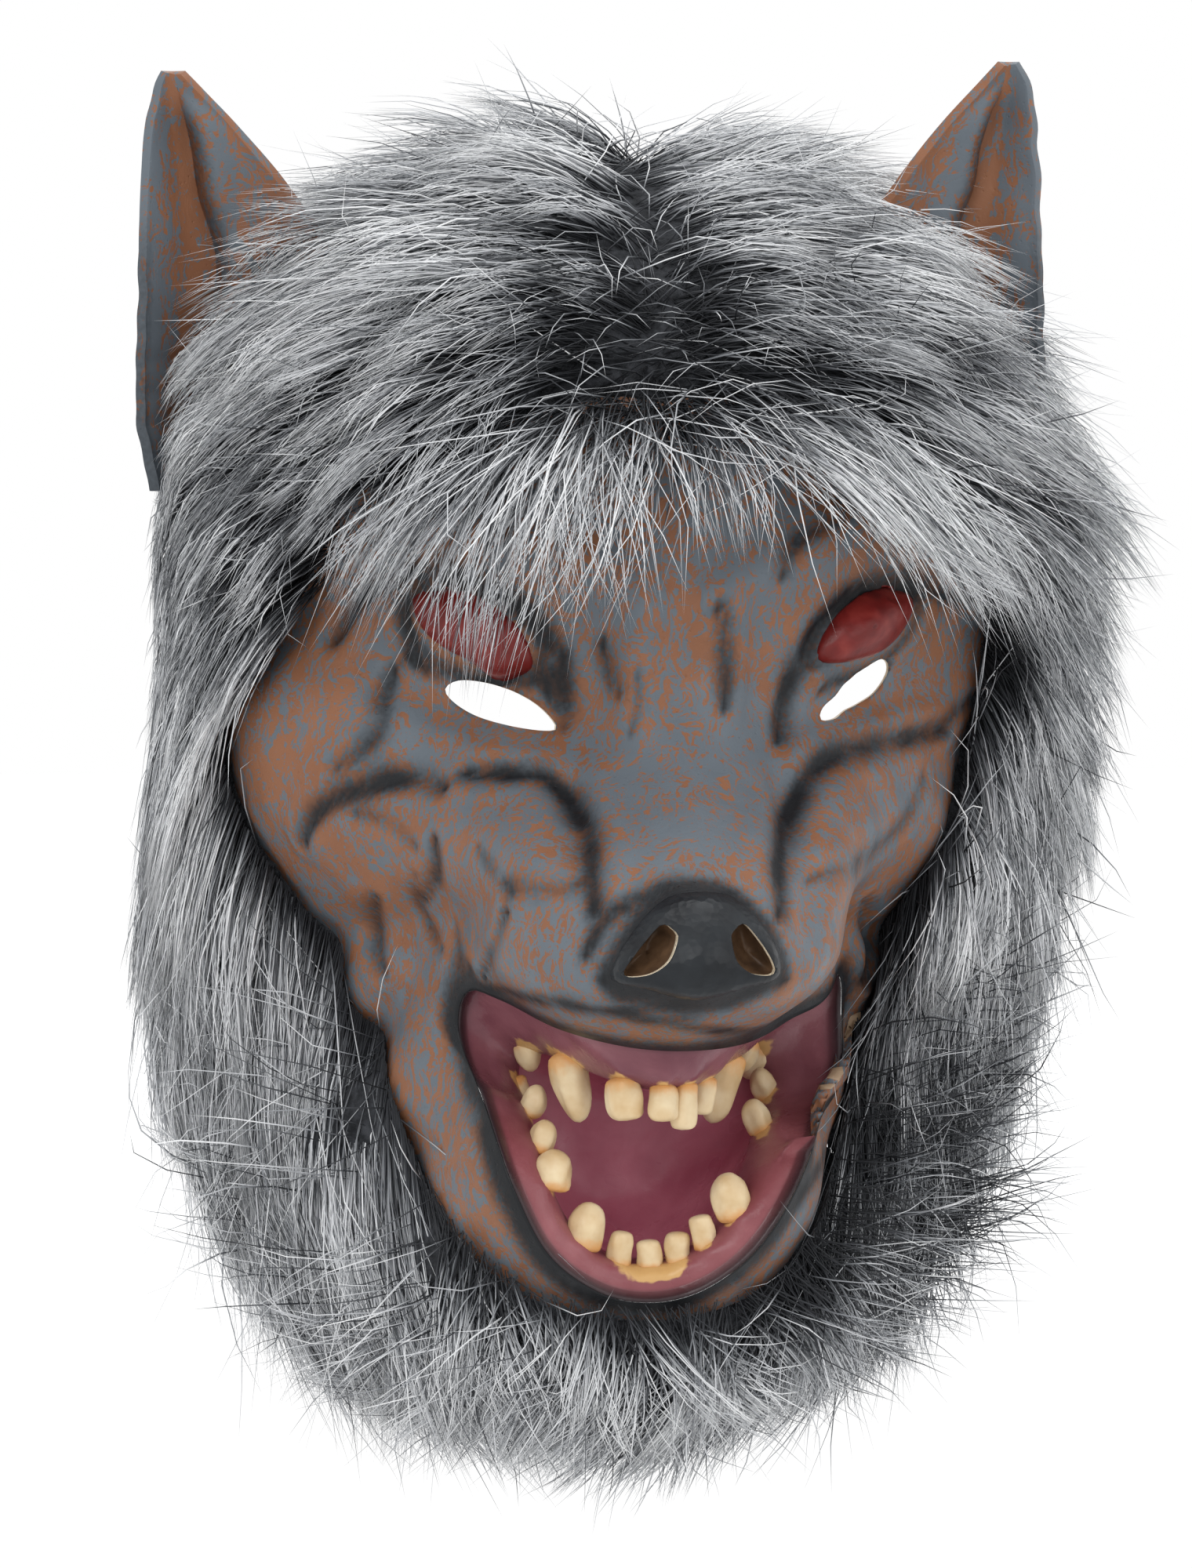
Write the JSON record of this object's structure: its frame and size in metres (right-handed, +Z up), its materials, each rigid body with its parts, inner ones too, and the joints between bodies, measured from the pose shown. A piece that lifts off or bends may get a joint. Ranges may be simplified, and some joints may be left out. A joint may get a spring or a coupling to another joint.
{
  "type": "wolf mask",
  "caption": "Snarling wolf front mask: moulded latex face with cut eye slits, nose, open mouth with teeth, pointed ears, long grey fur round the face and an elastic head band.",
  "frame": {"origin": "the top of the hollow for the head, where the crown of the wearer's head sits, on the middle line above the ears", "axes": "+Z up, -Y the way the face looks, +X to the right of someone who faces the mask"},
  "size_m": [0.2358, 0.2531, 0.3127],
  "materials": {
    "latex": "satin",
    "nose": "satin",
    "eye": "gloss",
    "gum": "gloss",
    "tooth": "gloss",
    "fur": "matte",
    "elastic": "matte"
  },
  "bodies": {
    "root": {"face_skin": "latex", "nose_pad": "nose", "eye_left": "eye", "eye_right": "eye", "ear_left": "latex", "ear_right": "latex", "mouth_lining": "gum", "tooth_incisor_left_outer": "tooth", "tooth_incisor_left_inner": "tooth", "tooth_incisor_right_inner": "tooth", "tooth_incisor_right_outer": "tooth", "tooth_canine_right": "tooth", "tooth_premolar_right": "tooth", "tooth_molar_right": "tooth", "tooth_canine_left": "tooth", "tooth_premolar_left": "tooth", "tooth_molar_left": "tooth", "tooth_lower_molar_left": "tooth", "tooth_lower_side_left": "tooth", "tooth_lower_back_left": "tooth", "tooth_lower_canine_left": "tooth", "tooth_lower_front_1": "tooth", "tooth_lower_front_2": "tooth", "tooth_lower_front_3": "tooth", "tooth_lower_front_4": "tooth", "tooth_lower_canine_right": "tooth", "tooth_lower_back_right": "tooth", "tooth_lower_molar_right": "tooth", "crown_fur": "fur", "mane_left": "fur", "mane_right": "fur", "chin_fur": "fur", "head_elastic": "elastic"}
  },
  "joints": []
}
